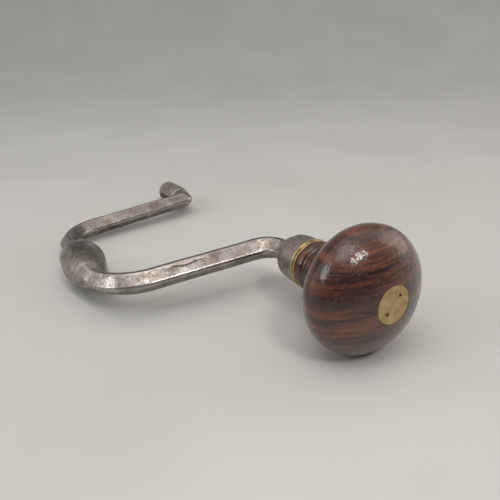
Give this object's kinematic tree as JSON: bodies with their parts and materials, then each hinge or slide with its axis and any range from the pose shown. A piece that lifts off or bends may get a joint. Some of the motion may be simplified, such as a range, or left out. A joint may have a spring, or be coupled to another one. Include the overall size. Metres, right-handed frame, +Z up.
{
  "type": "carpenter's brace",
  "caption": "Forged-steel crank brace with a swollen grip, a domed rosewood head turning on a bushed spindle, and a square tapered bit socket with a sprung catch lever.",
  "frame": {"origin": "centre of the bottom of the bounding box, the brace lying on its head, its grip swelling and its socket on z = 0", "axes": "+X along the brace from the head to the socket, whose common axis dips about 5.4 degrees, +Y towards the grip, +Z up"},
  "size_m": [0.3174, 0.171, 0.0756],
  "materials": {
    "forged_steel": "worn grey-brown patina, bright on the rubbed faces",
    "socket_steel": "dull brown-grey patina",
    "dark_steel": "blackened",
    "turned_steel": "oiled",
    "spring_steel": "blued",
    "aged_brass": "tarnished satin",
    "washer_brass": "rubbed bright",
    "disc_brass": "matte, fine scratches",
    "rosewood": "hand-polished, worn"
  },
  "bodies": {
    "frame": {"crank_frame": "forged_steel", "neck_collar": "forged_steel", "head_spindle": "turned_steel", "thrust_washer": "washer_brass", "spindle_washer": "turned_steel", "spindle_nut": "turned_steel", "nut_cross_pin": "turned_steel", "chuck_socket": "socket_steel", "catch_pivot_pin": "dark_steel", "catch_spring": "spring_steel", "spring_screw": "dark_steel"},
    "head": {"rosewood_head": "rosewood", "neck_ferrule": "aged_brass", "neck_bush": "aged_brass", "crown_bush": "aged_brass", "crown_screw_1": "turned_steel", "crown_screw_2": "turned_steel", "crown_screw_3": "turned_steel", "cover_disc": "disc_brass"},
    "catch": {"catch_lever": "dark_steel"}
  },
  "joints": [
    {"name": "head_spin", "type": "hinge", "parent": "frame", "child": "head", "pos_m": [-0.11289, -0.04753, 0.03568], "axis": [0.9956, 0, -0.0941], "continuous": true},
    {"name": "catch_press", "type": "hinge", "parent": "frame", "child": "catch", "pos_m": [0.14194, -0.03994, 0.01119], "axis": [0.0939, 0.053, 0.9942], "range_deg": [0, 6], "stiffness_Nm_per_rad": 0.5, "springref_deg": -5.73, "deforming": ["catch_spring"]}
  ]
}
